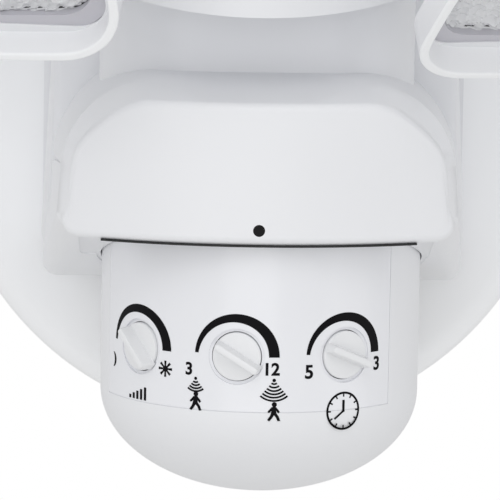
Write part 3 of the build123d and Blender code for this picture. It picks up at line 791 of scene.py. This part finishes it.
# each lens is a clear sheet hammered into shallow scales, with edges that bow outwards
glass = {"width": 74.2, "height": 53.3, "corner": 8.0, "bulge": 1.0, "columns": 150, "rows": 108,
         "face": 44.4, "thickness": 1.4, "dimple": 1.9, "pitch": 1.9}
scales = bpy.data.textures.new("scales", "VORONOI")
scales.noise_scale = glass["pitch"]
scales.distance_metric = "DISTANCE_SQUARED"


def makeLens(name, head):
    bpy.ops.mesh.primitive_grid_add(x_subdivisions=glass["columns"], y_subdivisions=glass["rows"], size=1,
                                    location=(0, 0, glass["face"]))
    sheet = bpy.context.object
    sheet.scale = (2, glass["height"], 1)
    bpy.ops.object.transform_apply(location=True, rotation=False, scale=True)
    for vertex in sheet.data.vertices:
        x, y, z = vertex.co
        x *= (halfWidth(y, glass["width"], glass["height"], glass["corner"])
              - glass["bulge"] * (2 * y / glass["height"]) ** 2)
        y -= glass["bulge"] * (2 * y / glass["height"]) * (2 * x / glass["width"]) ** 2
        vertex.co = (x, y, z)
    applyModifier(sheet, "DISPLACE", texture=scales, strength=glass["dimple"], mid_level=0.5, direction="Z",
                  texture_coords="LOCAL")
    applyModifier(sheet, "SOLIDIFY", thickness=glass["thickness"], offset=-1)
    finishPiece(sheet, "hammeredLens_" + name, headPlace(head), name + "_head", clearAcrylic,
                angle=25)
    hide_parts("lens_" + name)


# white bezel over the outer part of the grey ring, a light line with a thin shadow at its foot
bezel = {"width": 83.4, "height": 62.4, "corner": 12.0, "line": 2.3, "half": 0.12, "round": 0.12,
         "roundSteps": 2, "out": 45.9, "turnStep": 3}


def bezelOutline(grow):
    width, height, corner = (bezel[key] + grow for key in ("width", "height", "corner"))
    rows = [height / 2 * sin(radians(a)) for a in range(-90, 91, bezel["turnStep"])]
    right = [(halfWidth(y, width, height, corner), y) for y in rows]
    return right + [(-x, y) for x, y in right[::-1]]


def makeBezel(name, head):
    ring = filmOf(bezelOutline(0), bezel["half"], bezelOutline(-2 * bezel["line"]))
    ring.data.bevel_depth = bezel["round"]
    ring.data.bevel_resolution = bezel["roundSteps"]
    finishPiece(filmMesh(ring), "bezel_" + name, headPlace(head) @ Matrix.Translation((0, 0, bezel["out"])),
                name + "_head", whiteAbs)


rimFrom = 51.9  # how far out from a head's tilt axis its shroud's rim begins


# the shroud is a merged copy of its CAD shape; its rim and its inner wall take the lighter copy of the white,
# as painted light
def makeShroud(name, head):
    shroud = mergedCopy("shroud_" + name)
    finishPiece(shroud, "paintedLightShroud_" + name, Matrix.Identity(4), name + "_head",
                whiteAbs, weighted=True)
    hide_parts("shroud_" + name)
    # slot 1 is the lighter white: painted light on the rim and the inner wall
    shroud.data.materials.append(paintedLightAbs)
    place = headPlace(head)
    toHead = place.inverted()
    turnToHead = place.to_3x3().normalized().inverted()
    for face in shroud.data.polygons:
        spot = toHead @ face.center
        normal = turnToHead @ face.normal
        onRim = spot.z > rimFrom
        onInnerWall = normal.x * spot.x + normal.y * spot.y < 0
        if onRim or onInnerWall:
            face.material_index = 1


for name, head in heads.items():
    makeLens(name, head)
    makeBezel(name, head)
    makeShroud(name, head)
print("lenses made")

# soft studio light: four large square lamps round the front and a pale room, places and sizes in metres
lamps = [
    {"name": "frontLamp", "place": (-0.2, -1.5, 0.05), "size": 1.0, "power": 3.0},
    {"name": "highLamp", "place": (0.0, -1.2, 1.3), "size": 1.0, "power": 3.5},
    {"name": "leftLamp", "place": (-1.2, -0.8, 0.9), "size": 1.0, "power": 2.4},
    {"name": "rightLamp", "place": (1.4, -0.7, 0.05), "size": 1.0, "power": 1.6},
]
lampAim = Vector((0, -0.05, 0))
for lamp in lamps:
    data = bpy.data.lights.new(lamp["name"], "AREA")
    data.shape = "SQUARE"
    data.size = lamp["size"]
    data.energy = lamp["power"]
    body = bpy.data.objects.new(lamp["name"], data)
    bpy.context.scene.collection.objects.link(body)
    place = Vector(lamp["place"])
    aimed = (lampAim - place).to_track_quat("-Z", "Y").to_matrix().to_4x4()
    body.matrix_world = Matrix.Translation(place) @ aimed

# the room lights the pieces a little less than it shows itself
room = {"lighting": 0.7, "seen": 1.0}
world = bpy.data.worlds.new("paleRoom")
world.use_nodes = True
bpy.context.scene.world = world
sky = world.node_tree
sky.nodes.clear()
path = addNode(sky, "ShaderNodeLightPath")
seen = addNode(sky, "ShaderNodeMath", {"operation": "MAXIMUM"}, i0=(path, "Is Camera Ray"),
               i1=(path, "Is Transmission Ray"))
strength = addNode(sky, "ShaderNodeMapRange", Value=(seen, 0), To_Min=room["lighting"], To_Max=room["seen"])
shade = addNode(sky, "ShaderNodeBackground", Color=(1, 1, 1, 1), Strength=(strength, 0))
addNode(sky, "ShaderNodeOutputWorld", Surface=(shade, 0))
bpy.context.scene.view_settings.view_transform = "Standard"

# pale round table top below the light; it ends before the main view reaches it
floor = {"radius": 0.55, "sides": 96, "place": (0, -0.05, -0.30), "colour": "f0f0ef"}
bpy.ops.mesh.primitive_circle_add(vertices=floor["sides"], radius=floor["radius"], fill_type="NGON",
                                  location=floor["place"])
table = bpy.context.object
table.name = "floor"
# painted board: matte white with a faint, broad clouding
table.data.materials.append(grainedFinish("matteWhiteBoard", floor["colour"], 0.7, mottle=0.01, bump=0.05,
                                          grain=1.5, cloud=80))
print("light and floor set")
